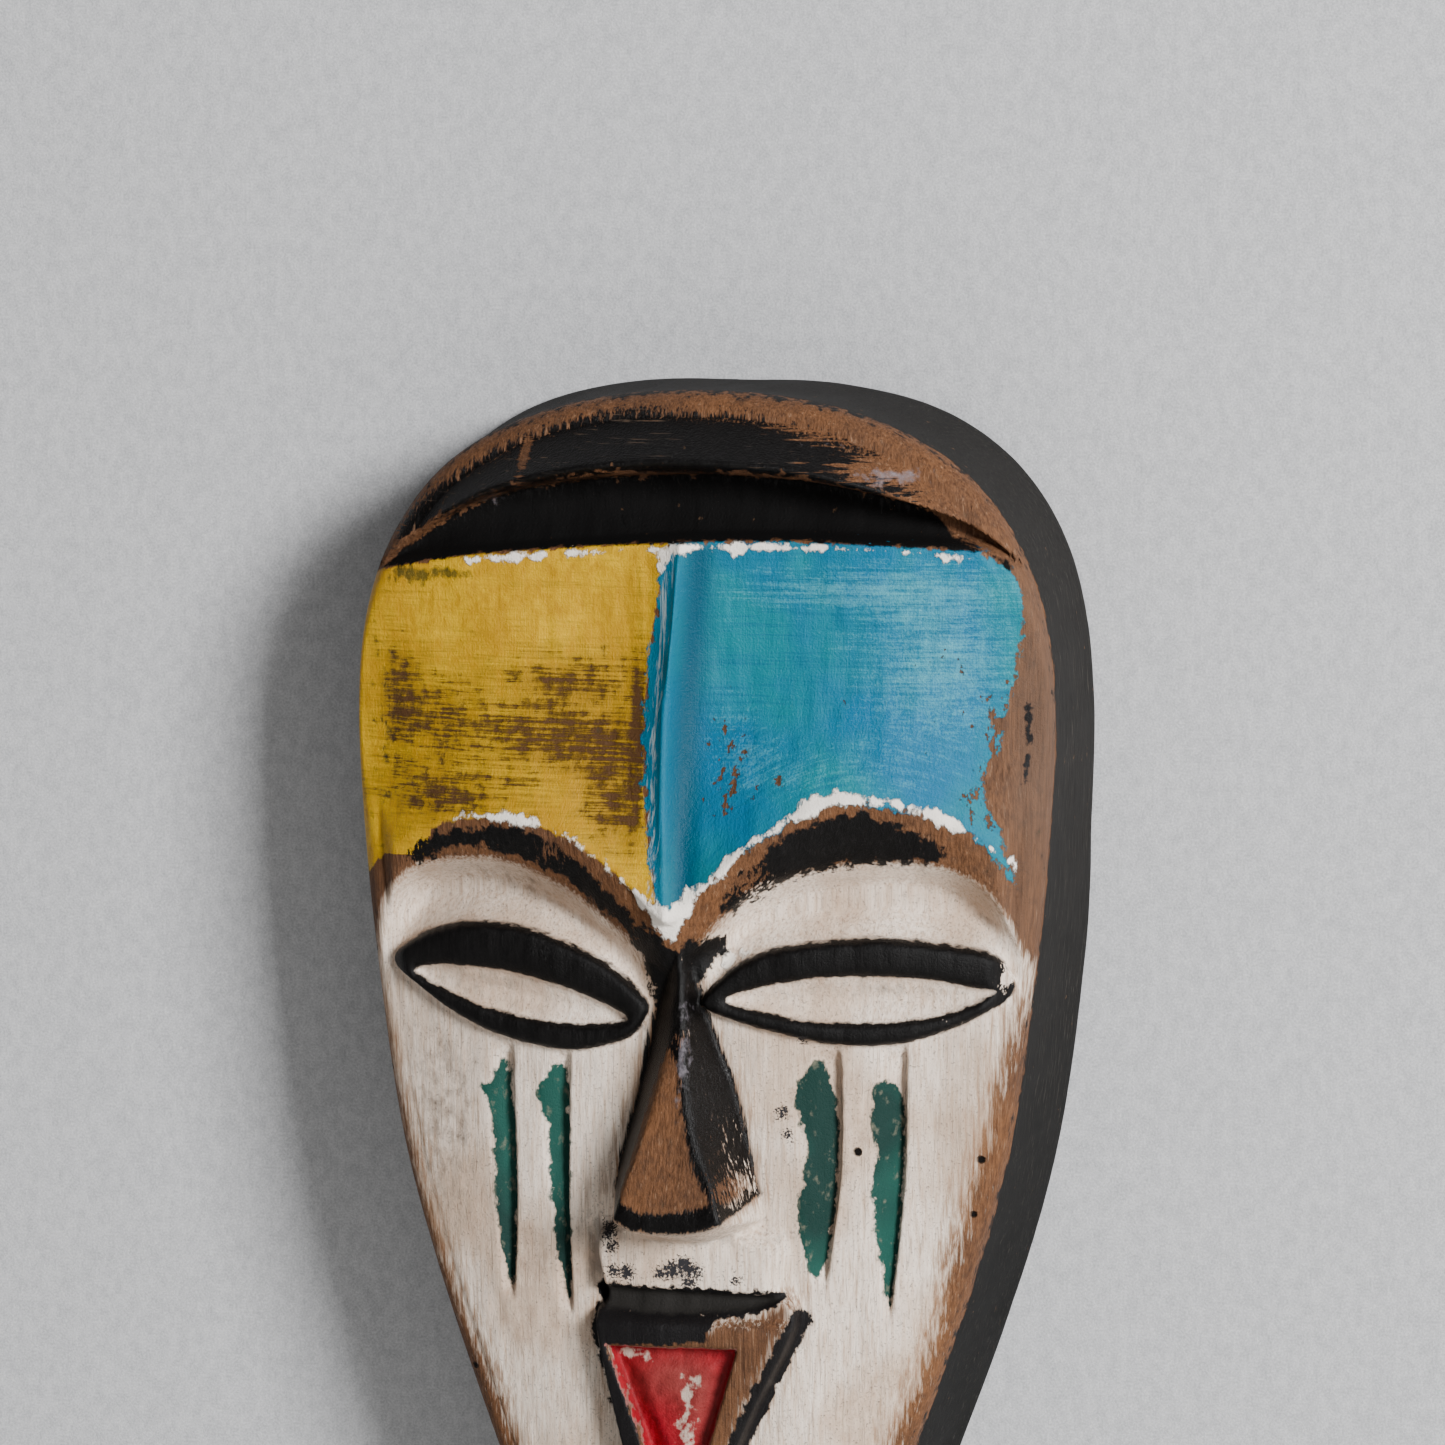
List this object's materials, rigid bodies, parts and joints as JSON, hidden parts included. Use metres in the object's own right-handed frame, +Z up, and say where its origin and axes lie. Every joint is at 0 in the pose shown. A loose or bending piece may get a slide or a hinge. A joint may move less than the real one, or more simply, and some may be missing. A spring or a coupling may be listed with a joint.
{
  "type": "carved wooden mask",
  "caption": "Tall oval face mask carved from one block of wood and painted, hollow behind, with a swinging steel ring hanger on its back.",
  "frame": {"origin": "on the flat back rim, at its top centre", "axes": "+Y out of the back, into the wall that the mask hangs on; +Z up; +X to the right of someone looking at the face, which looks along -Y"},
  "size_m": [0.1656, 0.074, 0.3101],
  "materials": {
    "painted_wood": "carved wood with matt chalky paint, worn at the edges",
    "zinc_plated_steel": "dull zinc plate"
  },
  "bodies": {
    "mask": {"mask_body": "painted_wood", "hanger_strap": "zinc_plated_steel", "hanger_screw_upper": "zinc_plated_steel", "hanger_screw_lower": "zinc_plated_steel"},
    "ring": {"hanger_ring": "zinc_plated_steel"}
  },
  "joints": [
    {"name": "ring_swing", "type": "hinge", "parent": "mask", "child": "ring", "pos_m": [0, -0.0025, -0.021], "axis": [1, 0, 0], "range_deg": [0, 180]}
  ]
}
